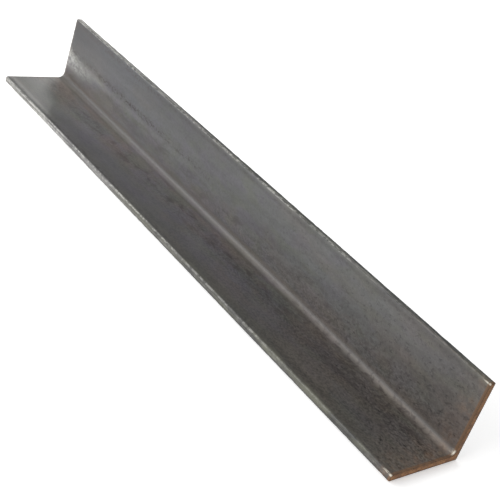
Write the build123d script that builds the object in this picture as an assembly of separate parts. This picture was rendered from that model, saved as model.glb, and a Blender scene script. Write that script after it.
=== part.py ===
from build123d import *

import os

# Equal-leg steel angle, hot rolled in one piece and cut square to a short length.
# It lies on a level floor as such stock does: one leg flat and the other upright along its back.
# +X runs along the length, +Y points out of the upright leg's back and +Z points up.
# The origin is under the middle of the length and of the flat leg's width, at floor level.
# Lengths are in millimetres.

# The rolled section
leg_width = 50.0  # from the heel's outside to the toe, the same on both legs
leg_thickness = 4.0
root_radius = 4.0  # the hollow between the two inner faces
toe_inner_radius = 1.0  # the toes are slightly rounded on the inner side
toe_outer_radius = 0.4  # and nearly square on the outer side
heel_radius = 0.5  # the outer corner fills the rolls, so it comes out nearly square

# The cut length
bar_length = 420.0
burr_break = 0.25  # bevel left where the burr of each cut is filed off

node = "angle_section"


def section_corners():
    """Each sharp corner of the L as (y, z) with its rounding, in order round the section."""
    back = leg_width / 2
    front = back - leg_width
    inner_back = back - leg_thickness
    return [
        (back, 0, heel_radius),
        (front, 0, toe_outer_radius),
        (front, leg_thickness, toe_inner_radius),
        (inner_back, leg_thickness, root_radius),
        (inner_back, leg_width, toe_inner_radius),
        (back, leg_width, toe_outer_radius),
    ]


def rolled_section():
    """The L in the YZ plane, with every corner at the radius that the rolls leave."""
    corners = section_corners()
    outline = Polyline(*[(y, z) for y, z, radius in corners], close=True)
    section = Plane.YZ * make_face(outline)
    for y, z, radius in corners:
        corner = section.vertices().sort_by_distance((0, y, z)).first
        section = fillet(corner, radius)
    return section


def cut_length():
    """The section run half the length each way along X, with the edges of both cuts broken."""
    bar = extrude(rolled_section(), amount=bar_length / 2, both=True)
    cut_faces = bar.faces().filter_by(Axis.X)
    return chamfer(cut_faces.edges(), burr_break)


os.makedirs("parts", exist_ok=True)
export_step(cut_length(), f"parts/{node}.step")
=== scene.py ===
import math

import bpy
import numpy as np
from mathutils import Matrix, Vector


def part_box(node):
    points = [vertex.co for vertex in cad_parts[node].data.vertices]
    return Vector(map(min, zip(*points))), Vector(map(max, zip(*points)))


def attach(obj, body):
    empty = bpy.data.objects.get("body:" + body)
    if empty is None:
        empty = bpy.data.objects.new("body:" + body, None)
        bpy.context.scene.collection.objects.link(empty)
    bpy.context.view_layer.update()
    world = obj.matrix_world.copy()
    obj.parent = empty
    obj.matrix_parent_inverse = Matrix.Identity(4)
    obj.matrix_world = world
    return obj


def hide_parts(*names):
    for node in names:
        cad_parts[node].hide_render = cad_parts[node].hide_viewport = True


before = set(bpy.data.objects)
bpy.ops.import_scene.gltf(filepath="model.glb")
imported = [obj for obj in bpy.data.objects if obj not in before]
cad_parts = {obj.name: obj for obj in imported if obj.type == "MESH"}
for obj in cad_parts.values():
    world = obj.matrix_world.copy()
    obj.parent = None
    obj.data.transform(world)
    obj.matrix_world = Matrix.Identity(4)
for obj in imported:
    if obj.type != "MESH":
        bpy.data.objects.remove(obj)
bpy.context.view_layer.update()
low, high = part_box("angle_section")
print("stage: frame loaded")

# Every length is in metres. The bar runs along X, with one leg flat and the other upright at its
# +Y side. The cut end at +X is the one with the most rust.
bar = {
    "thickness": 0.004,
    "rootRadius": 0.004,
    "toeInnerRadius": 0.001,
    "toeOuterRadius": 0.0004,
    "heelRadius": 0.0005,
    "burrBreak": 0.00025,  # bevel round each cut
    "flatSteps": 36,  # mesh columns over the flat part of each leg
    "rootSteps": 10,
    "toeArcSteps": 5,
    "toeFaceSteps": 4,
    "toeEdgeSteps": 3,
    "lengthSteps": 440,
    "waveDepth": 0.00006,  # slow waviness that the rolls leave in the flats
    "waveSize": (0.034, 0.02, 0.02),
    "pitDepth": 0.00003,  # shallow pits where scale was pressed in
    "pitSize": (0.0052, 0.0026, 0.0026),
    "pitLimits": (0.55, 0.8),
    "pitFreeRoot": (0.004, 0.007),
    "chipDepth": 0.00015,  # ragged toe edges
    "chipSize": (0.0034, 0.0016, 0.0016),
    "chipLimits": (0.45, 0.85),
    "chipReach": 0.0022,
    "sharpAngle": 50,
    "seed": 7,
}


# Points on a rounded right-angled corner. The centre is one radius along both sides, and the
# arc swings from the side it comes from to the side it leaves by.
def cornerArc(corner, towardsBack, towardsNext, radius, steps):
    turn = np.linspace(0, math.pi / 2, steps + 1)[:, None]
    back = np.array(towardsBack, float)
    forth = np.array(towardsNext, float)
    centre = np.array(corner, float) + radius * (back + forth)
    return centre - radius * (forth * np.cos(turn) + back * np.sin(turn))


# Evenly spaced points from one end to the other, both ends kept.
def straightRun(start, end, steps):
    share = np.linspace(0, 1, steps + 1)[:, None]
    return np.array(start, float) * (1 - share) + np.array(end, float) * share


# Pieces of outline put end to end, with the shared points kept once.
def joined(*runs):
    return np.vstack([run[:-1] for run in runs[:-1]] + [runs[-1]])


# The four sides of the section as (y, z) curves. The inner and the outer side run from the flat
# leg's toe round the corner to the upright leg's toe, and each toe runs from inner to outer side.
def sectionSides():
    back, front, bottom, top = high[1], low[1], low[2], high[2]
    innerBack = back - bar["thickness"]
    innerFloor = bottom + bar["thickness"]
    root, heel = bar["rootRadius"], bar["heelRadius"]
    inner, outer = bar["toeInnerRadius"], bar["toeOuterRadius"]
    flat, bend = bar["flatSteps"], bar["rootSteps"]
    arc, face, edge = bar["toeArcSteps"], bar["toeFaceSteps"], bar["toeEdgeSteps"]
    innerSide = joined(
        straightRun((front + inner, innerFloor), (innerBack - root, innerFloor), flat),
        cornerArc((innerBack, innerFloor), (-1, 0), (0, 1), root, bend),
        straightRun((innerBack, innerFloor + root), (innerBack, top - inner), flat),
    )
    outerSide = joined(
        straightRun((front + outer, bottom), (back - heel, bottom), flat),
        cornerArc((back, bottom), (-1, 0), (0, 1), heel, bend),
        straightRun((back, bottom + heel), (back, top - outer), flat),
    )
    flatToe = joined(
        cornerArc((front, innerFloor), (1, 0), (0, -1), inner, arc),
        straightRun((front, innerFloor - inner), (front, bottom + outer), face),
        cornerArc((front, bottom), (0, 1), (1, 0), outer, edge),
    )
    uprightToe = joined(
        cornerArc((innerBack, top), (0, -1), (1, 0), inner, arc),
        straightRun((innerBack + inner, top), (back - outer, top), face),
        cornerArc((back, top), (-1, 0), (0, -1), outer, edge),
    )
    return innerSide, outerSide, flatToe, uprightToe


# A patch stretched over four border curves: the blend of the two long sides plus the blend of
# the two short ones, less the blend of the four corners.
def borderPatch(inner, outer, first, last):
    along = np.linspace(0, 1, len(inner))[:, None, None]
    across = np.linspace(0, 1, len(first))[None, :, None]
    longBlend = inner[:, None] * (1 - across) + outer[:, None] * across
    shortBlend = first[None] * (1 - along) + last[None] * along
    cornerBlend = (
        inner[0] * (1 - along) * (1 - across)
        + inner[-1] * along * (1 - across)
        + outer[0] * (1 - along) * across
        + outer[-1] * along * across
    )
    return longBlend + shortBlend - cornerBlend


# Value noise from 0 to 1: random numbers at the corners of box-shaped cells, blended by the
# smoothstep of each point's place in its cell.
def cellNoise(points, cell, seed):
    scaled = points / np.array(cell, float)
    base = np.floor(scaled).astype(int)
    place = scaled - base
    ease = place * place * (3 - 2 * place)
    base -= base.min(axis=0)
    values = np.random.default_rng(seed).random(tuple(base.max(axis=0) + 2))
    total = np.zeros(len(points))
    for corner in np.ndindex(2, 2, 2):
        weight = np.prod(np.where(corner, ease, 1 - ease), axis=1)
        spot = base + np.array(corner)
        total += weight * values[spot[:, 0], spot[:, 1], spot[:, 2]]
    return total


# Two octaves of value noise, the second half as large and half as strong as the first.
def roughNoise(points, cell, seed):
    fine = cellNoise(points, np.array(cell) / 2, seed + 1)
    return (2 * cellNoise(points, cell, seed) + fine) / 3


def smoothStep(value, start, end):
    share = np.clip((value - start) / (end - start), 0, 1)
    return share * share * (3 - 2 * share)


# Unit normals of a closed outline, pointing out of the metal: the step from the point before to
# the point after, given a quarter turn.
def outlineNormals(ring):
    after, before = np.roll(ring, -1, axis=0), np.roll(ring, 1, axis=0)
    step = after - before
    normal = np.stack([step[:, 1], -step[:, 0]], axis=1)
    normal /= np.linalg.norm(normal, axis=1, keepdims=True)
    area = np.sum(ring[:, 0] * after[:, 1] - ring[:, 1] * after[:, 0])
    return normal * np.sign(area)


# Stations along X: close together at the bevel of each cut, and even between.
def lengthStations():
    lead = low[0] + bar["burrBreak"] * np.array([0, 1, 2])
    tail = high[0] - bar["burrBreak"] * np.array([2, 1, 0])
    margin = 4 * bar["burrBreak"]
    middle = np.linspace(low[0] + margin, high[0] - margin, bar["lengthSteps"] + 1)
    return np.concatenate([lead, middle, tail])


# Quads between the neighbours of a grid of point numbers.
def gridFaces(grid):
    quads = [grid[:-1, :-1], grid[1:, :-1], grid[1:, 1:], grid[:-1, 1:]]
    return np.stack(quads, axis=-1).reshape(-1, 4)


# How far each point moves into the metal: slow waves all over, shallow pits except on the root's
# arc, and chips that fade with the distance from a toe.
def reliefDepth(points, toeDistance):
    seed = bar["seed"]
    wave = cellNoise(points, bar["waveSize"], seed)
    pits = smoothStep(roughNoise(points, bar["pitSize"], seed + 10), *bar["pitLimits"])
    pits *= smoothStep(distanceFromRoot(points), *bar["pitFreeRoot"])
    chips = smoothStep(roughNoise(points, bar["chipSize"], seed + 20), *bar["chipLimits"])
    nearToe = 1 - smoothStep(toeDistance, 0, bar["chipReach"])
    return bar["waveDepth"] * wave + bar["pitDepth"] * pits + bar["chipDepth"] * chips * nearToe


# Distance from the nearest toe, measured along the leg.
def distanceFromToe(points):
    return np.minimum(points[:, 1] - low[1], high[2] - points[:, 2])


# Distance from the line where the two inner faces would meet.
def distanceFromRoot(points):
    across = points[:, 1] - (high[1] - bar["thickness"])
    above = points[:, 2] - (low[2] + bar["thickness"])
    return np.hypot(across, above)


def distanceFromCut(points):
    return high[0] - np.abs(points[:, 0])


# Depth inside the outer sides: 0 on the back and the underside, and the thickness on the two
# inner faces.
def distanceFromSkin(points):
    return np.minimum(points[:, 2] - low[2], high[1] - points[:, 1])


# Distance from the heel along the outer sides.
def distanceFromHeel(points):
    return np.maximum(points[:, 2] - low[2], high[1] - points[:, 1])


# Positive on the upright leg and negative on the flat one.
def legSide(points):
    return (points[:, 2] - low[2]) - (high[1] - points[:, 1])


# The grid of point numbers that closes one end: its four borders are the ring's own points, and
# the points inside are numbered from the next free one.
def capGrid(ringStart, ringCount, longCount, shortCount, nextFree):
    grid = np.zeros((longCount, shortCount), int)
    ring = ringStart + np.arange(ringCount)
    innerEnd = longCount - 1
    toeEnd = innerEnd + shortCount - 1
    outerEnd = toeEnd + longCount - 1
    grid[:, 0] = ring[: innerEnd + 1]
    grid[-1, :] = ring[innerEnd : toeEnd + 1]
    grid[:, -1] = ring[toeEnd : outerEnd + 1][::-1]
    grid[0, 1:] = ring[outerEnd:][::-1]
    inside = (longCount - 2) * (shortCount - 2)
    grid[1:-1, 1:-1] = nextFree + np.arange(inside).reshape(longCount - 2, shortCount - 2)
    return grid


# The bar is the section's outline carried along X, moved in by the relief, and closed at each
# end by a border patch.
def barSurface():
    innerSide, outerSide, flatToe, uprightToe = sectionSides()
    outline = np.vstack([innerSide[:-1], uprightToe[:-1], outerSide[:0:-1], flatToe[:0:-1]])
    stations = lengthStations()
    rings, count = len(stations), len(outline)
    points = np.column_stack([np.repeat(stations, count), np.tile(outline, (rings, 1))])
    depth = reliefDepth(points, distanceFromToe(points))
    depth[:count] += bar["burrBreak"]
    depth[-count:] += bar["burrBreak"]
    plain = points.copy()
    points[:, 1:] -= np.tile(outlineNormals(outline), (rings, 1)) * depth[:, None]

    tube = np.arange(rings * count).reshape(rings, count)
    tube = np.hstack([tube, tube[:, :1]])
    faces, moved, unmoved = [gridFaces(tube)], [points], [plain]
    nextFree = rings * count
    for ringStart, x in ((0, low[0]), (nextFree - count, high[0])):
        grid = capGrid(ringStart, count, len(innerSide), len(flatToe), nextFree)
        edges = (grid[:, 0], grid[:, -1], grid[0], grid[-1])
        patch = borderPatch(*[points[edge, 1:] for edge in edges])
        inside = patch[1:-1, 1:-1].reshape(-1, 2)
        inside = np.column_stack([np.full(len(inside), x), inside])
        moved.append(inside)
        unmoved.append(inside)
        nextFree += len(inside)
        faces.append(gridFaces(grid) if x < 0 else gridFaces(grid)[:, ::-1])
    return np.vstack(moved), np.vstack(unmoved), faces


def addPiece(name, points, faces, attributes, slots):
    mesh = bpy.data.meshes.new(name)
    mesh.from_pydata(points.tolist(), [], faces.tolist())
    for key, values in attributes.items():
        layer = mesh.attributes.new(key, "FLOAT", "POINT")
        layer.data.foreach_set("value", values.astype(np.float32))
    mesh.polygons.foreach_set("material_index", slots.astype(np.int32))
    mesh.shade_smooth()
    mesh.set_sharp_from_angle(angle=math.radians(bar["sharpAngle"]))
    mesh.update()
    piece = bpy.data.objects.new(name, mesh)
    bpy.context.scene.collection.objects.link(piece)
    return piece


def makeBar():
    points, plain, faces = barSurface()
    attributes = {
        "toeDistance": distanceFromToe(plain),
        "rootDistance": distanceFromRoot(plain),
        "cutDistance": distanceFromCut(plain),
        "skinDistance": distanceFromSkin(plain),
        "heelDistance": distanceFromHeel(plain),
        "legSide": legSide(plain),
    }
    slots = np.repeat([0, 1, 1], [len(part) for part in faces])
    return addPiece("angleBar", points, np.vstack(faces), attributes, slots)


barPiece = makeBar()
print("stage: bar mesh,", len(barPiece.data.polygons) * 2, "triangles")


# A socket is linked to the input it is for, and anything else becomes that input's own value.
def fillInputs(tree, made, inputs):
    for name, value in inputs.items():
        if isinstance(value, bpy.types.NodeSocket):
            tree.links.new(value, made.inputs[name])
        else:
            made.inputs[name].default_value = value


def addNode(tree, kind, inputs, **settings):
    made = tree.nodes.new("ShaderNode" + kind)
    for name, value in settings.items():
        setattr(made, name, value)
    fillInputs(tree, made, inputs)
    return made


def combine(tree, operation, first, second):
    return addNode(tree, "Math", {0: first, 1: second}, operation=operation).outputs[0]


# One sum, product or maximum of several values.
def combineAll(tree, operation, values):
    total = values[0]
    for value in values[1:]:
        total = combine(tree, operation, total, value)
    return total


# 0 before the start, 1 past the end and a smoothstep between.
def rise(tree, value, start, end):
    inputs = {"Value": value, "From Min": start, "From Max": end}
    made = addNode(tree, "MapRange", inputs, interpolation_type="SMOOTHSTEP", clamp=True)
    return made.outputs["Result"]


# A value that runs from one number to another while the input goes from start to end.
def ramp(tree, value, start, end, first, last):
    inputs = {"Value": value, "From Min": start, "From Max": end, "To Min": first, "To Max": last}
    return addNode(tree, "MapRange", inputs, clamp=True).outputs["Result"]


def distanceFrom(tree, value, centre):
    return combine(tree, "ABSOLUTE", combine(tree, "SUBTRACT", value, centre), 0.0)


# 1 at the centre of a stripe, fading to 0 one width away on both sides.
def stripe(tree, value, centre, width):
    return rise(tree, distanceFrom(tree, value, centre), width, 0.0)


# The distance from a centre, counted in widths.
def widths(tree, value, centre, width):
    return combine(tree, "DIVIDE", distanceFrom(tree, value, centre), width)


# The first value where a mask is 0 and the second where it is 1.
def mixValues(tree, mask, first, second):
    return addNode(tree, "Mix", {0: mask, 2: first, 3: second}, data_type="FLOAT").outputs[0]


def blendColors(tree, factor, first, second, blend="MIX"):
    made = addNode(tree, "Mix", {}, data_type="RGBA", blend_type=blend)
    given = {"Factor_Float": factor, "A_Color": first, "B_Color": second}
    sockets = {socket.identifier: socket for socket in made.inputs}
    for name, value in given.items():
        if isinstance(value, bpy.types.NodeSocket):
            tree.links.new(value, sockets[name])
        else:
            sockets[name].default_value = (*value, 1) if isinstance(value, tuple) else value
    return made.outputs[2]


def scaleColor(tree, color, tone):
    grey = addNode(tree, "CombineColor", {"Red": tone, "Green": tone, "Blue": tone}).outputs[0]
    return blendColors(tree, 1.0, color, grey, "MULTIPLY")


shapes = {"rise": rise, "ramp": ramp, "stripe": stripe, "widths": widths, "mix": mixValues}


# A formula from one of the tables below, turned into nodes. A name stands for a measure, a mask
# or a pattern, a list for the product of its items and a dictionary for the sum of its own. A
# tuple is either a name, a shape and that shape's numbers, or "most" and values of which the
# largest counts. Numbers may be formulas too.
def wire(tree, at, formula):
    if isinstance(formula, str):
        return at[formula]
    if isinstance(formula, dict):
        return combineAll(tree, "ADD", [wire(tree, at, item) for item in formula.values()])
    if isinstance(formula, list):
        return combineAll(tree, "MULTIPLY", [wire(tree, at, item) for item in formula])
    if not isinstance(formula, tuple):
        return formula
    if formula[0] == "most":
        return combineAll(tree, "MAXIMUM", [wire(tree, at, item) for item in formula[1:]])
    name, shape, *numbers = formula
    return shapes[shape](tree, at[name], *[wire(tree, at, number) for number in numbers])


# Named formulas, each of which may use the ones before it.
def wireAll(tree, at, formulas):
    for name, formula in formulas.items():
        at[name] = wire(tree, at, formula)


# Layers laid over a colour in their order, each a colour's name and how strong it is.
def addLayers(tree, at, color, colors, layers):
    for name, strength in layers.values():
        color = blendColors(tree, wire(tree, at, strength), color, colors[name])
    return color


def newGroup(name, inputs, outputs):
    tree = bpy.data.node_groups.new(name, "ShaderNodeTree")
    for socketName, kind, value in inputs:
        socket = tree.interface.new_socket(name=socketName, in_out="INPUT", socket_type=kind)
        socket.default_value = value
    for socketName, kind in outputs:
        tree.interface.new_socket(name=socketName, in_out="OUTPUT", socket_type=kind)
    return tree, tree.nodes.new("NodeGroupInput").outputs, tree.nodes.new("NodeGroupOutput").inputs


def useGroup(tree, group, inputs):
    made = tree.nodes.new("ShaderNodeGroup")
    made.node_tree = group
    fillInputs(tree, made, inputs)
    return made.outputs


# Noise on the piece's own coordinates, stretched by a number of cells per metre each way. Mask
# is the noise between two limits, smoothly cut.
def makeSurfaceNoise():
    tree, given, result = newGroup(
        "surfaceNoise",
        [
            ("Stretch", "NodeSocketVector", (100, 100, 100)),
            ("Shift", "NodeSocketVector", (0, 0, 0)),
            ("Detail", "NodeSocketFloat", 2.0),
            ("Swirl", "NodeSocketFloat", 0.0),
            ("Low", "NodeSocketFloat", 0.4),
            ("High", "NodeSocketFloat", 0.6),
        ],
        [("Mask", "NodeSocketFloat"), ("Value", "NodeSocketFloat")],
    )
    place = addNode(tree, "TexCoord", {}).outputs["Object"]
    inputs = {"Vector": place, "Scale": given["Stretch"], "Location": given["Shift"]}
    spot = addNode(tree, "Mapping", inputs).outputs["Vector"]
    inputs = {"Vector": spot, "Scale": 1.0, "Detail": given["Detail"], "Roughness": 0.55}
    noise = addNode(tree, "TexNoise", {**inputs, "Distortion": given["Swirl"]}).outputs["Fac"]
    tree.links.new(noise, result["Value"])
    tree.links.new(rise(tree, noise, given["Low"], given["High"]), result["Mask"])
    return tree


rust = {
    "brown": (0.21, 0.108, 0.058),
    "orange": (0.36, 0.185, 0.085),
    "crust": (0.10, 0.052, 0.032),
    "roughness": 0.85,
    "crusts": {"Stretch": (900, 900, 900), "Detail": 4.0, "Low": 0.5, "High": 0.75},
    "blooms": {"Stretch": (260, 260, 260), "Detail": 3.0, "Shift": (3, 7, 1)},
}


# Rust laid over a finish: brown with orange blooms and darker crusts, as strong as the amount.
def makeRustCover(noiseTree):
    tree, given, result = newGroup(
        "rustCover",
        [
            ("Color", "NodeSocketColor", (0.1, 0.1, 0.1, 1)),
            ("Amount", "NodeSocketFloat", 0.0),
            ("Roughness", "NodeSocketFloat", 0.5),
        ],
        [("Color", "NodeSocketColor"), ("Roughness", "NodeSocketFloat")],
    )
    crust = useGroup(tree, noiseTree, rust["crusts"])
    bloom = useGroup(tree, noiseTree, rust["blooms"])
    dull = blendColors(tree, bloom["Mask"], rust["brown"], rust["orange"])
    dull = blendColors(tree, crust["Mask"], dull, rust["crust"])
    tree.links.new(blendColors(tree, given["Amount"], given["Color"], dull), result["Color"])
    dulled = combine(tree, "SUBTRACT", rust["roughness"], given["Roughness"])
    dulled = combine(tree, "MULTIPLY", given["Amount"], dulled)
    tree.links.new(combine(tree, "ADD", given["Roughness"], dulled), result["Roughness"])
    return tree


surfaceNoise = makeSurfaceNoise()
rustCover = makeRustCover(surfaceNoise)


def newMaterial(name):
    material = bpy.data.materials.new(name)
    material.use_nodes = True
    tree = material.node_tree
    return material, tree, tree.nodes["Principled BSDF"].inputs


# Roughness comes from the rust cover, and the colour is the cover's with more laid over it.
def finishMetal(tree, shader, color, cover, ior, relief, reliefHeight):
    tree.links.new(color, shader["Base Color"])
    tree.links.new(cover["Roughness"], shader["Roughness"])
    shader["IOR"].default_value = ior
    inputs = {"Height": relief, "Strength": 1.0, "Distance": reliefHeight}
    tree.links.new(addNode(tree, "Bump", inputs).outputs["Normal"], shader["Normal"])


# The measures that every layer of a finish is placed by: the distances that the mesh carries,
# which side of the corner a spot is on, the place along the bar and the height. Upright and flat
# are masks of the two legs.
def readMeasures(tree):
    place = addNode(tree, "TexCoord", {}).outputs["Object"]
    split = addNode(tree, "SeparateXYZ", {"Vector": place}).outputs
    at = {"along": split["X"], "height": split["Z"]}
    names = {name: name + "Distance" for name in ("toe", "root", "cut", "skin", "heel")}
    for name, layer in {**names, "side": "legSide"}.items():
        at[name] = addNode(tree, "Attribute", {}, attribute_name=layer).outputs["Fac"]
    legs = {"upright": ("side", "rise", -0.002, 0.002), "flat": ("side", "rise", 0.002, -0.002)}
    wireAll(tree, at, legs)
    return at


scale = {
    "grey": (0.0800, 0.0806, 0.0799),
    "violet": (0.0836, 0.0782, 0.0902),
    "olive": (0.0802, 0.0832, 0.0712),
    "blue": (0.0780, 0.0800, 0.0880),
    "khaki": (0.0838, 0.0822, 0.0700),
    "mauve": (0.1010, 0.0770, 0.0715),
    "brown": (0.0975, 0.0790, 0.0640),
    # The dark colour serves both the dark marks and painted shade.
    "dark": (0.033, 0.0255, 0.0245),
    # The light colour is that of the painted reflection at the -X end.
    "light": (0.38, 0.38, 0.355),
    "worn": (0.34, 0.335, 0.315),
    "wornOlive": (0.20, 0.20, 0.14),
    "toeShade": (0.030, 0.030, 0.029),
    # The rust rim's colour also stands for painted shade over the +X bevel's highlight.
    "rustRimAndShade": (0.085, 0.044, 0.019),
    # Bare steel is painted as bright glints.
    "bareGlint": (0.70, 0.66, 0.56),
    "ior": 1.5,
    "grainHeight": 0.00011,
}

# Patterns of the mill scale: cells per metre along the bar and across it, octaves, the two limits
# of the mask, swirl, and a shift that keeps patterns of one size apart.
scalePatterns = {
    "drift": (11, 40, 2.0, 0.38, 0.62, 0.0, (0, 0, 0)),
    "violet": (50, 110, 3.0, 0.44, 0.59, 0.0, (2, 8, 5)),
    "olive": (42, 95, 3.0, 0.48, 0.66, 0.0, (7, 1, 3)),
    "blush": (34, 85, 3.0, 0.42, 0.60, 0.0, (3, 5, 6)),
    "streaks": (7, 240, 4.0, 0.3, 0.7, 0.0, (0, 0, 0)),
    "clouds": (60, 150, 4.0, 0.3, 0.7, 0.4, (6, 2, 2)),
    "grain": (590, 790, 3.0, 0.3, 0.7, 0.3, (0, 0, 0)),
    "pits": (420, 640, 1.0, 0.60, 0.68, 0.0, (4, 7, 2)),
    "dots": (420, 620, 3.0, 0.49, 0.6, 0.5, (2, 6, 3)),
    "clusters": (48, 20, 1.0, 0.44, 0.58, 0.0, (1, 3, 8)),
    "smudges": (90, 210, 4.0, 0.48, 0.66, 0.5, (8, 3, 5)),
    "blots": (260, 380, 4.0, 0.48, 0.64, 0.6, (1, 9, 4)),
    "feather": (180, 500, 4.0, 0.38, 0.6, 0.5, (4, 4, 9)),
    "flakes": (200, 330, 4.0, 0.44, 0.56, 0.6, (8, 3, 2)),
    "chips": (380, 620, 4.0, 0.47, 0.58, 0.0, (0, 0, 0)),
    "patches": (26, 90, 3.0, 0.42, 0.62, 0.0, (5, 1, 8)),
    "grooves": (30, 1100, 3.0, 0.35, 0.65, 0.0, (3, 3, 7)),
    "rimChips": (500, 330, 3.0, 0.42, 0.6, 0.0, (2, 2, 9)),
    "specks": (420, 900, 3.0, 0.5, 0.58, 0.0, (6, 6, 6)),
    "creep": (170, 210, 4.0, 0.42, 0.66, 0.0, (9, 2, 4)),
}


# Every pattern's mask under its own name, and its plain noise under that name and Value.
def addPatterns(tree, at):
    for name, (along, across, detail, lowest, highest, swirl, shift) in scalePatterns.items():
        inputs = {"Stretch": (along, across, across), "Detail": detail, "Swirl": swirl}
        limits = {"Low": lowest, "High": highest, "Shift": shift}
        spots = useGroup(tree, surfaceNoise, {**inputs, **limits})
        at[name], at[name + "Value"] = spots["Mask"], spots["Value"]


# Places that several layers share. Far is towards the -X end and near towards the +X one.
scalePlaces = {
    "onArc": ("root", "rise", 0.0066, 0.0036),
    "offArc": ("root", "rise", 0.0036, 0.0066),
    "nearRoot": ("root", "rise", 0.036, 0.012),
    "nearEnd": ("along", "rise", 0.0, 0.22),
    "nearHalf": ("along", "rise", -0.06, 0.04),
    "nearness": ("along", "ramp", -0.05, 0.2, 0.0, 1.0),
    "nearQuarter": ("along", "rise", 0.085, 0.12),
    "farEnd": ("along", "rise", -0.14, -0.19),
    "past": {"along": "along", "slant": ["toe", 1.13], "start": 0.158},
    "innerFaces": ("skin", "rise", 0.002, 0.003),
    "inside": ("skin", "rise", 0.002, 0.0035),
    "onToeFace": ("toe", "rise", 0.0008, 0.0003),
}

# Grey scale that drifts to violet and olive in patches, to mauve beside the root and to brown
# towards the +X end. The upright leg's outer part is bluer at the -X end, and the flat leg is
# yellower beside its toe. Blushed is where the mauve shows most.
blushed = [("blush", "mix", 0.35, 1.65), ("onArc", "mix", 1.0, 0.35)]
hueLayers = {
    "violetPatches": (
        "violet",
        ["violet", ("along", "ramp", 0.04, 0.18, 0.85, 0.45), ("upright", "mix", 1.0, 0.68)],
    ),
    "olivePatches": ("olive", ["olive", ("upright", "mix", 0.9, 0.72)]),
    "flatOuter": (
        "violet",
        [
            "flat",
            ("root", "rise", 0.012, 0.036),
            ("along", "rise", 0.22, 0.0),
            ("along", "rise", -0.18, -0.12),
            0.5,
        ],
    ),
    "flatFar": ("olive", ["flat", "farEnd", 0.7]),
    "uprightFar": (
        "blue",
        ["upright", ("along", "rise", -0.05, -0.14), ("root", "rise", 0.020, 0.028), 0.72],
    ),
    "flatToe": (
        "khaki",
        ["flat", ("toe", "rise", 0.012, 0.005), ("along", "ramp", -0.08, 0.05, 0.3, 0.8)],
    ),
    "reddened": (
        "mauve",
        {
            "root": [
                "nearRoot",
                ("flat", "mix", 0.05, 0.29),
                ("nearEnd", "mix", 1.0, 0.6),
                blushed,
            ],
            "uprightNear": ["nearRoot", "nearEnd", "upright", 0.2, blushed],
            "drift": ("drift", "mix", -0.075, 0.075),
        },
    ),
    "warmed": (
        "brown",
        {
            "near": ["nearEnd", {"root": ["nearRoot", 0.12], "flat": ["flat", 0.20], "all": 0.32}],
            "farRoot": ["nearRoot", "farEnd", 0.2],
            "drift": ("drift", "mix", -0.075, 0.075),
            "blush": [("blush", "mix", -0.5, 0.5), "offArc", ("upright", "mix", 0.26, 0.15)],
            "arc": ["onArc", ("side", "ramp", -0.002, 0.002, 0.12, 0.4)],
        },
    ),
}

# How light the scale is on the root's arc: a painted highlight, lightest at its middle, with
# painted shade over the arc's upper part.
arcHighlightTone = {
    "plain": ("along", "ramp", -0.16, 0.16, 1.06, 0.82),
    "middle": [("side", "stripe", 0.0, 0.0040), ("along", "ramp", -0.18, 0.16, -0.58, 0.24)],
    "crest": [("side", "stripe", 0.0002, 0.0019), ("along", "ramp", -0.18, -0.06, 0.08, 0.18)],
    "thinCrest": [("side", "stripe", 0.0003, 0.0016), ("along", "stripe", -0.03, 0.12), 0.13],
    "middleDim": [("along", "stripe", -0.03, 0.11), -0.08],
    "lowerNear": [("side", "rise", 0.001, -0.001), ("along", "stripe", 0.160, 0.035), 0.14],
    "upper": [("side", "stripe", 0.0021, 0.0019), -0.27],
    "upperNear": [("side", "stripe", 0.0021, 0.0019), ("along", "rise", 0.16, 0.2), -0.14],
}

# How light the legs are: the inner zone is lighter at the -X end and darker at the +X one.
legTone = {
    "flatOuter": ("along", "ramp", -0.14, 0.1, 0.92, 0.78),
    "uprightOuter": {"far": 0.48, "rest": [("along", "rise", -0.215, -0.125), 0.48]},
    "inner": ("along", "ramp", -0.19, 0.17, 1.26, 0.82),
    "innerZone": ("root", "rise", 0.036, 0.014),
}

# Lighter zones of the flat leg, and darker ones below 0. Past is the distance into the upright
# leg's shadow, counted from the shadow's slanting edge at the -X end of the flat leg.
flatZones = {
    "root": [("root", "rise", 0.018, 0.0045), 0.34],
    "besideRoot": [("root", "stripe", 0.0145, 0.0110), ("along", "stripe", 0.07, 0.12), -0.18],
    # Painted shade along the edge of the upright leg's shadow, and painted light just inside the
    # shadow.
    "slantEdge": [("past", "stripe", -0.005, 0.014), ("toe", "rise", 0.008, 0.028), -0.22],
    "pastSlant": [("past", "stripe", 0.008, 0.012), ("toe", "rise", 0.014, 0.026), 0.06],
    "farMiddle": [("along", "stripe", -0.145, 0.05), ("toe", "stripe", 0.022, 0.014), 0.21],
    "farOuter": [("along", "stripe", -0.158, 0.022), ("toe", "stripe", 0.013, 0.012), 0.13],
    "middle": [("along", "stripe", 0.01, 0.08), ("toe", "stripe", 0.0225, 0.0145), 0.14],
    "nearMiddle": [("along", "stripe", 0.145, 0.04), ("toe", "stripe", 0.017, 0.012), 0.12],
    "farHalf": [("along", "stripe", -0.1, 0.1), ("toe", "rise", 0.006, 0.02), 0.12],
    "nearTip": [("along", "rise", 0.175, 0.206), 0.34],
    "toe": [("toe", "rise", 0.010, 0.005), ("along", "rise", -0.02, 0.06), -0.13],
}

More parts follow.
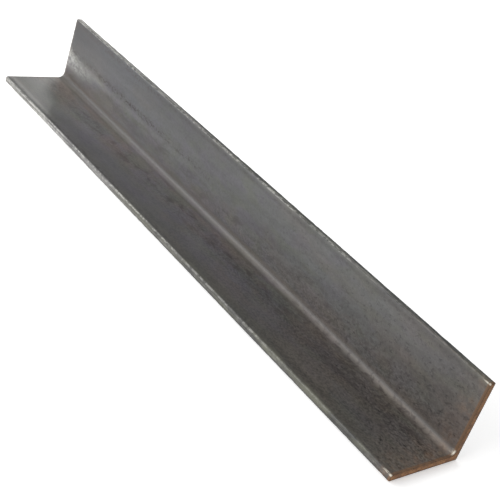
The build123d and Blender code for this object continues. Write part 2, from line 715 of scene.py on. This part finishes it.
# The same for the upright leg, with painted shade along the upper edge of the painted reflection at
# the -X end.
uprightZones = {
    # Painted shade above the painted reflection at the -X end.
    "shadeAboveReflection": [("height", "stripe", 0.0285, 0.009), ("along", "rise", -0.165, -0.185), -0.22],
    "near": [("along", "rise", 0.15, 0.2), ("root", "rise", 0.014, 0.036), -0.12],
    "nearAll": [("along", "rise", 0.15, 0.2), -0.14],
    "outer": [
        ("root", "rise", 0.020, 0.030),
        {
            "far": [("along", "rise", 0.02, -0.06), ("toe", "rise", 0.015, 0.006), -0.18],
            "middle": [("along", "stripe", 0.06, 0.07), 0.05],
        },
    ],
    "seam": [("height", "stripe", 0.0255, 0.0045), ("along", "rise", -0.02, 0.05), -0.09],
}

# The zones of both legs, and painted light beside the root's arc at the -X end that lifts the shade
# in the corner there.
bothZones = {
    "plain": 1.0,
    "flat": ["flat", flatZones],
    "upright": ["upright", uprightZones],
    # Painted light over the shade beside the root at the -X end.
    "farRoot": [
        ("along", "rise", -0.11, -0.17),
        ("root", "rise", 0.0085, 0.0045),
        "offArc",
        0.16,
    ],
}

# Rolled streaks, cloudy patches, grain and pits. Change multiplies the tone, and relief is the
# height that the bump follows.
scaleTexture = {
    "uneven": {
        "plain": 1.0,
        "uprightOuter": [
            "nearHalf",
            "upright",
            ("root", "rise", 0.012, 0.022),
            ("along", "rise", 0.200, 0.175),
            -0.36,
        ],
        "uprightRoot": ["nearHalf", "upright", ("root", "rise", 0.015, 0.009), "offArc", 0.6],
        "flatMiddle": ["flat", ("root", "stripe", 0.017, 0.010), 0.5],
    },
    "grainStrength": [
        ("nearness", "mix", 0.19, 0.39),
        ("onArc", "mix", 1.0, 0.25),
        ("flat", "mix", 1.0, 1.8),
        "uneven",
    ],
    "softStrength": ("along", "ramp", -0.05, 0.1, 0.8, 1.0),
    "flatClouds": ("toe", "ramp", 0.010, 0.022, 0.26, 0.19),
    "change": {
        "plain": 1.0,
        "streaks": [("streaks", "mix", -0.055, 0.055), "softStrength"],
        "clouds": [
            ("clouds", "mix", -0.5, 0.5),
            "softStrength",
            ("upright", "mix", "flatClouds", 0.15),
        ],
        "grain": [("grain", "mix", -0.5, 0.5), "grainStrength"],
        "band": [
            ("height", "stripe", 0.0222, 0.0040),
            ("along", "rise", 0.04, -0.08),
            "upright",
            0.21,
        ],
        "pits": ["pits", "offArc", {"all": -0.08, "near": ["nearness", "nearness", -0.34]}],
    },
    "relief": [
        {"grain": "grainValue", "pits": ["pits", -0.3]},
        ("along", "ramp", -0.1, 0.2, 0.4, 0.85),
        ("onArc", "mix", 1.0, 0.12),
        "uneven",
    ],
}

# Dark marks and painted shade: a row of specks along the upright leg, smudges beside the root,
# blots that get denser towards the +X end, painted shade beside the root on the upright leg, specks
# inside each toe, and a dark band under the painted reflection at the -X end that is part stain and
# part painted shade. Coarse marks lie on the upright leg at that end.
coarse = [("blotsValue", "rise", 0.47, 0.56), "upright", ("along", "rise", -0.12, -0.155)]
darkMarksAndShade = {
    "row": [
        ("height", "stripe", ("along", "ramp", -0.2, 0.06, 0.0268, 0.0257), 0.0034),
        ("along", "rise", 0.06, -0.12),
        {
            "dots": ["dots", ("clusters", "mix", 0.20, 0.82)],
            "soft": ("clusters", "mix", 0.02, 0.07),
        },
        "upright",
        "innerFaces",
    ],
    "smudges": [
        ("root", "stripe", ("upright", "mix", 0.0142, 0.0135), 0.0115),
        "smudges",
        ("upright", "mix", 0.78, 0.40),
        ("along", "ramp", -0.14, 0.0, 0.6, 1.0),
    ],
    "blots": [
        ("root", "rise", 0.038, 0.012),
        ("along", "rise", -0.02, 0.15),
        "blots",
        ("root", "ramp", 0.009, 0.016, 0.6, 0.38),
        ("cut", "ramp", 0.004, 0.022, 0.3, 1.0),
    ],
    # Painted shade beside the root on the upright leg.
    "rootShade": [
        ("root", "stripe", 0.0085, 0.0045),
        ("along", "rise", -0.02, 0.12),
        "upright",
        0.24,
    ],
    # A dark band under the painted reflection: part stain, and part painted shade that is strongest
    # at the -X cut.
    "stainAndShade": [
        ("height", "stripe", 0.0098, 0.0064),
        "upright",
        ("along", "rise", -0.16, -0.2),
        {"patchy": ["smudges", 0.3], "all": ("along", "ramp", -0.199, -0.206, 0.34, 0.56)},
    ],
    "farTip": [
        ("toe", "rise", 0.014, 0.002),
        "upright",
        ("along", "rise", -0.197, -0.207),
        "dots",
        0.6,
    ],
    "toeSpecks": [
        ("toe", "stripe", 0.0028, ("along", "ramp", -0.14, -0.08, 0.0032, 0.0022)),
        "dots",
        ("along", "ramp", -0.14, 0.02, 0.85, 0.35),
        "innerFaces",
    ],
    "coarseRow": [("height", "stripe", 0.0272, 0.0034), 0.52, *coarse, "innerFaces"],
    "coarseToe": [("toe", "stripe", 0.0030, 0.0034), 0.66, *coarse, "innerFaces"],
}

# The toes' faces are light at the -X end and darken towards the other.
toeFaceLayers = {
    "uprightShade": (
        "toeShade",
        [
            ("skin", "rise", 0.0028, 0.0016),
            "onToeFace",
            "upright",
            ("along", "ramp", -0.20, -0.03, 0.0, 0.9),
        ],
    ),
    "flatShade": (
        "toeShade",
        [
            {
                "half": [("along", "rise", -0.1, 0.1), 0.46],
                "third": [("along", "rise", 0.04, 0.1), 0.18],
                "quarter": ["nearQuarter", 0.16],
            },
            "onToeFace",
            "flat",
            ("skin", "rise", 0.0041, 0.0032),
        ],
    ),
    "light": (
        "worn",
        [
            "onToeFace",
            {
                "far": [
                    {
                        "all": [
                            ("along", "ramp", -0.16, -0.02, 1.0, 0.0),
                            ("upright", "mix", 0.46, 0.50),
                        ],
                        "uprightOuter": [
                            "upright",
                            ("skin", "rise", 0.0032, 0.0016),
                            ("along", "rise", -0.13, -0.19),
                            0.42,
                        ],
                    },
                    ("chips", "mix", 0.78, 1.28),
                ],
                "chips": ["chips", 0.08],
            },
        ],
    ),
}

# Lines that run lengthways on the toes' faces.
toeLines = ("onToeFace", "mix", 1.0, ("grooves", "mix", 0.5, 1.5))

# Worn edges: light chips on the toes' inner corners with a dark line inside them, olive patches,
# and outer corners and a heel that are rubbed bright in places. On the upright toe the dark line
# and a darkening just under the inner corner are painted shade, and so is the darkening of the flat
# toe's inner corner towards +X.
edgePlaces = {
    "innerCorner": [
        ("skin", "rise", ("flat", "mix", 0.0022, 0.0027), ("flat", "mix", 0.0029, 0.0034)),
        ("toe", "rise", 0.0010, 0.0005),
    ],
    "far": ("along", "rise", -0.1, -0.17),
    "near": ("along", "rise", 0.12, 0.18),
    "offFar": ("along", "rise", -0.1, 0.0),
    "outside": ("most", "toe", "skin"),
    "outerToe": [("outside", "rise", 0.0009, 0.0003), ("offFar", "mix", 1.0, 0.25)],
}
edgeLayers = {
    # Painted shade over the flat toe's inner corner towards +X, where its rounding catches light.
    "flatCornerShade": ("toeShade", ["innerCorner", "flat", "nearQuarter", 0.8]),
    "cornerChips": (
        "worn",
        [
            "innerCorner",
            {
                "chips": [
                    "chips",
                    {"patchy": ["patches", 0.46], "all": ("upright", "mix", 0.30, 0.25)},
                ],
                "all": 0.02,
            },
            ("nearQuarter", "mix", 1.0, 0.25),
            ("near", "mix", 1.0, 0.5),
        ],
    ),
    # Painted shade: a dark line inside the upright toe's corner and a darkening just under it.
    "shadeUnderCorner": (
        "toeShade",
        [
            "upright",
            (
                "most",
                ["inside", ("toe", "stripe", 0.0026, 0.0026), ("along", "rise", -0.2, -0.05), 0.36],
                [
                    ("toe", "stripe", 0.0010, 0.0009),
                    ("skin", "rise", 0.0033, 0.0039),
                    ("along", "ramp", -0.12, 0.15, 0.1, 0.5),
                ],
            ),
        ],
    ),
    "olivePatches": (
        "wornOlive",
        [
            ("toe", "rise", 0.004, 0.001),
            "patches",
            ("along", "rise", -0.1, 0.02),
            ("upright", "mix", 0.36, 0.12),
        ],
    ),
    "darkLine": (
        "toeShade",
        [("toe", "stripe", 0.0017, 0.0013), "flat", "inside", ("far", "mix", 0.45, 0.92)],
    ),
    "lightLine": (
        "worn",
        [
            ("toe", "stripe", 0.0046, 0.0026),
            "flat",
            "inside",
            ("along", "rise", -0.13, -0.175),
            0.24,
        ],
    ),
    "outerLine": ("toeShade", [("outside", "rise", 0.0016, 0.0007), "offFar", 0.65]),
    "rubbed": (
        "worn",
        [
            ("most", "outerToe", ("heel", "rise", 0.0010, 0.0004)),
            {"chips": ["chips", 0.3], "patches": ["patches", 0.12]},
        ],
    ),
}

# A painted reflection of the pale floor past the -X end, on the upright leg: broad at the -X cut,
# feathered like a scuff, and drawn out to thin streaks. Travelled is the distance from that cut,
# and the offset is the one from the reflection's middle line, made ragged and counted in half
# widths.
farReflectionPlaces = {
    "travelled": {"along": "along", "cut": -low[0]},
    "reflectionCentre": ("travelled", "ramp", 0.0, 0.014, 0.0222, 0.0193),
    "reflectionWidth": ("travelled", "ramp", 0.0, 0.014, 0.0086, 0.0068),
    "offReflection": {
        "widths": ("height", "widths", "reflectionCentre", "reflectionWidth"),
        "ragged": ["featherValue", 2.2],
        "evenedOut": -1.1,
    },
    "reflectionCore": [
        ("offReflection", "rise", 1.05, 0.3),
        ("travelled", "ramp", 0.002, 0.038, 1.0, 0.12),
        ("height", "rise", 0.0110, 0.0162),
        ("travelled", "rise", 0.045, 0.034),
        {"feather": ["feather", 0.72], "flakes": ["flakes", 0.5], "all": 0.14},
    ],
    "reflectionStreak": [
        ("height", "stripe", 0.0224, 0.0038),
        ("travelled", "rise", 0.066, 0.048),
        ("feather", "mix", 0.05, 0.22),
    ],
    "farCut": [("along", "rise", -0.19, -0.2), "inside"],
}

# The painted reflection at the -X end, then the -X cut: a thin light rim on the upright leg and a
# thin dark one on the flat.
farLayers = {
    # Painted reflection of the pale floor past the -X end.
    "scuff": ("light", ["upright", "inside", ("most", "reflectionCore", "reflectionStreak"), 0.56]),
    "lightRim": (
        "worn",
        [
            "farCut",
            "upright",
            ("cut", "rise", 0.0022, 0.0006),
            "rimChips",
            ("toe", "ramp", 0.010, 0.003, 0.5, 0.9),
        ],
    ),
    "darkRim": ("toeShade", ["farCut", "flat", ("cut", "rise", 0.0028, 0.0010), 0.5]),
}

# Rust creeps in from the cuts, and most at +X.
rustAmount = [
    (
        "most",
        [
            ("cut", "rise", 0.020, 0.0),
            {"patchy": ["creep", ("upright", "mix", 0.15, 0.10)], "all": 0.05},
        ],
        [("cut", "rise", 0.0019, 0.0007), ("creep", "mix", 0.6, 0.85)],
    ),
    ("along", "ramp", -0.2, 0.2, 0.12, 1.0),
]

# Bare steel left by the saw, painted as bright glints: the ends of the inner toe corners and the
# root's arc at the +X cut.
glintPlaces = {
    "tip": [
        ("cut", "rise", ("upright", "mix", 0.0030, 0.0018), 0.0006),
        ("upright", "mix", 0.78, 0.6),
        ("specks", "mix", 0.5, 1.0),
    ],
    "loose": ["specks", ("cut", "rise", ("upright", "mix", 0.0080, 0.0058), 0.0014), 0.62],
    "cornerGlint": [
        ("skin", "rise", 0.0028, 0.0034),
        ("toe", "rise", 0.0011, 0.0007),
        ("most", "tip", "loose"),
    ],
    "arcGlint": [
        ("side", "stripe", 0.0008, 0.0032),
        ("root", "rise", 0.0036, 0.0026),
        (
            "most",
            [("cut", "rise", 0.0014, 0.0006), 0.85],
            ["specks", ("cut", "rise", 0.0042, 0.0010), 0.3],
        ),
    ],
}
cutLayers = {
    # Dark rust along the +X cut, darkened further as painted shade over the highlight of the cut's
    # bevel.
    "rim": (
        "rustRimAndShade",
        [
            ("cut", "rise", 0.0021, 0.0009),
            ("along", "rise", 0.0, 0.1),
            ("upright", "mix", 0.58, 0.95),
        ],
    ),
    "glints": ("bareGlint", [("along", "rise", 0.19, 0.2), ("most", "cornerGlint", "arcGlint")]),
}

# The scale is duller where it is grainy, on the upright toe, along the edge of the upright leg's
# shadow on the flat leg, and under the painted reflection at the -X end.
scaleRoughness = {
    "plain": 0.35,
    "grain": ["grainValue", 0.2],
    "uprightToe": ["onToeFace", "upright", 0.5],
    "slantEdge": [
        ("past", "rise", -0.016, -0.001),
        ("past", "rise", 0.022, 0.004),
        ("toe", "rise", 0.008, 0.030),
        "flat",
        0.21,
    ],
    "underReflection": [
        ("height", "stripe", 0.0105, 0.0055),
        ("along", "rise", -0.184, -0.200),
        "upright",
        0.25,
    ],
}


def makeMillScale():
    material, tree, shader = newMaterial("millScale")
    at = readMeasures(tree)
    addPatterns(tree, at)
    for formulas in (scalePlaces, scaleTexture, edgePlaces, farReflectionPlaces, glintPlaces):
        wireAll(tree, at, formulas)
    wireAll(tree, at, {**legTone, "arc": arcHighlightTone, "lift": bothZones})
    outer = mixValues(tree, at["upright"], at["flatOuter"], at["uprightOuter"])
    legs = mixValues(tree, at["innerZone"], outer, at["inner"])
    # On the root's arc the tone is its painted highlight and shade.
    tone = mixValues(tree, at["onArc"], legs, at["arc"])
    # The zones bring painted light and painted shade into the tone.
    tone = combineAll(tree, "MULTIPLY", [tone, at["lift"], at["change"]])

    color = addLayers(tree, at, scale["grey"], scale, hueLayers)
    color = scaleColor(tree, color, tone)
    marksAndShade = wire(tree, at, ("most", *darkMarksAndShade.values()))
    color = blendColors(tree, marksAndShade, color, scale["dark"])
    color = addLayers(tree, at, color, scale, toeFaceLayers)
    color = scaleColor(tree, color, wire(tree, at, toeLines))
    color = addLayers(tree, at, color, scale, {**edgeLayers, **farLayers})
    amount, matte = wire(tree, at, rustAmount), wire(tree, at, scaleRoughness)
    cover = useGroup(tree, rustCover, {"Color": color, "Amount": amount, "Roughness": matte})
    color = addLayers(tree, at, cover["Color"], scale, cutLayers)
    finishMetal(tree, shader, color, cover, scale["ior"], at["relief"], scale["grainHeight"])
    return material


cutFace = {
    "steel": (0.16, 0.10, 0.062),
    "steelRoughness": 0.5,
    "innerBorder": (0.130, 0.058, 0.023),
    "outerBorder": (0.085, 0.044, 0.023),
    "ior": 1.35,
    "lineNoise": {"Scale": 1.0, "Detail": 3.0, "Roughness": 0.55},
    "lineLimits": (0.36, 0.64),
    "lineHeight": 0.00006,
    "patches": {
        "Stretch": (150, 150, 150),
        "Detail": 4.0,
        "Low": 0.3,
        "High": 0.6,
        "Shift": (1, 5, 2),
    },
}

# Saw lines follow the section: cells per metre along it, across it and along the bar.
cutLines = {
    "reach": [{"root": "root", "skin": ["skin", -1.0]}, 110.0],
    "across": ["skin", 1500.0],
    "through": ["along", 20.0],
}
cutRust = ("patches", "mix", 0.78, 0.98)
cutTone = [("light", "mix", 0.84, 1.16), ("upright", "mix", 1.0, 0.72)]
borderLayers = {
    "inner": ("innerBorder", [("skin", "rise", 0.0020, 0.0038), ("upright", "mix", 0.45, 0.4)]),
    "outer": (
        "outerBorder",
        [("most", ("skin", "rise", 0.0013, 0.0003), ("toe", "rise", 0.0008, 0.0002)), 0.65],
    ),
}


# The sawn end: rusty streaks that follow the section, between dark borders. The upright leg's end
# is the darker one.
def makeCutFace():
    material, tree, shader = newMaterial("sawnCut")
    at = readMeasures(tree)
    wireAll(tree, at, cutLines)
    inputs = {"X": at["reach"], "Y": at["across"], "Z": at["through"]}
    spot = addNode(tree, "CombineXYZ", inputs).outputs[0]
    lines = addNode(tree, "TexNoise", {"Vector": spot, **cutFace["lineNoise"]}).outputs["Fac"]
    at["light"] = rise(tree, lines, *cutFace["lineLimits"])
    at["patches"] = useGroup(tree, surfaceNoise, cutFace["patches"])["Mask"]
    inputs = {"Color": (*cutFace["steel"], 1), "Roughness": cutFace["steelRoughness"]}
    cover = useGroup(tree, rustCover, {**inputs, "Amount": wire(tree, at, cutRust)})
    color = scaleColor(tree, cover["Color"], wire(tree, at, cutTone))
    color = addLayers(tree, at, color, cutFace, borderLayers)
    finishMetal(tree, shader, color, cover, cutFace["ior"], lines, cutFace["lineHeight"])
    return material


barPiece.data.materials.append(makeMillScale())
barPiece.data.materials.append(makeCutFace())
print("stage: finishes")

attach(barPiece, "root")
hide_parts("angle_section")

# Lights are soft boxes, each given by its direction from the bar in degrees, its watts and its
# width.
stage = {
    "floorSize": 8.0,
    "floorColor": (0.95, 0.95, 0.95),
    "floorRoughness": 0.9,
    "floorGlow": 0.28,  # keeps the floor pale under the soft shadow
    "skyStrength": 0.4,
    "skyBehind": 0.9,  # what shows past the edge of the floor
    "boxDistance": 1.6,
    "boxes": {
        "leftHigh": (180, 45, 5.7, 0.9),
        "leftFront": (225, 20, 13.2, 0.9),
        "front": (270, 20, 14.7, 0.9),
        "leftBack": (138.5, 20, 7.2, 0.58),
        "back": (90, 35, 6.0, 0.9),
    },
}


def makeSoftBox(name, azimuth, elevation, watts, size):
    data = bpy.data.lights.new(name, "AREA")
    data.shape = "SQUARE"
    data.size = size
    data.energy = watts
    flat = math.cos(math.radians(elevation))
    direction = Vector((
        math.cos(math.radians(azimuth)) * flat,
        math.sin(math.radians(azimuth)) * flat,
        math.sin(math.radians(elevation)),
    ))
    lamp = bpy.data.objects.new(name, data)
    turn = direction.to_track_quat("Z", "Y").to_matrix().to_4x4()
    lamp.matrix_world = Matrix.Translation(direction * stage["boxDistance"]) @ turn
    bpy.context.scene.collection.objects.link(lamp)


def makeStage():
    half = stage["floorSize"] / 2
    corners = [(-half, -half, 0), (half, -half, 0), (half, half, 0), (-half, half, 0)]
    mesh = bpy.data.meshes.new("floor")
    mesh.from_pydata(corners, [], [(0, 1, 2, 3)])
    floor = bpy.data.objects.new("floor", mesh)
    bpy.context.scene.collection.objects.link(floor)
    material, tree, shader = newMaterial("paleFloor")
    shader["Base Color"].default_value = (*stage["floorColor"], 1)
    shader["Roughness"].default_value = stage["floorRoughness"]
    shader["Emission Color"].default_value = (1, 1, 1, 1)
    shader["Emission Strength"].default_value = stage["floorGlow"]
    floor.data.materials.append(material)
    world = bpy.data.worlds.new("studio")
    world.use_nodes = True
    tree = world.node_tree
    sky = tree.nodes["Background"].inputs
    sky["Color"].default_value = (1, 1, 1, 1)
    seen = addNode(tree, "LightPath", {}).outputs["Is Camera Ray"]
    tree.links.new(mixValues(tree, seen, stage["skyStrength"], stage["skyBehind"]), sky["Strength"])
    bpy.context.scene.world = world
    for name, settings in stage["boxes"].items():
        makeSoftBox(name, *settings)
    bpy.context.scene.view_settings.view_transform = "Standard"


makeStage()

camera = {
    "spot": (0.42567, -0.39374, 0.31312),
    "aim": (0.03779, 0.01185, 0.015),
    "roll": 19.678,  # degrees that the camera leans to its left
    "lens": 77.92,
    "sensor": 36.0,
}


def makeCamera():
    data = bpy.data.cameras.new("camera")
    data.lens = camera["lens"]
    data.sensor_width = camera["sensor"]
    data.sensor_fit = "HORIZONTAL"
    view = bpy.data.objects.new("camera", data)
    spot = Vector(camera["spot"])
    turn = (Vector(camera["aim"]) - spot).to_track_quat("-Z", "Y").to_matrix().to_4x4()
    roll = Matrix.Rotation(math.radians(camera["roll"]), 4, "Z")
    view.matrix_world = Matrix.Translation(spot) @ turn @ roll
    bpy.context.scene.collection.objects.link(view)
    bpy.context.scene.camera = view


makeCamera()
print("stage: lights and camera")
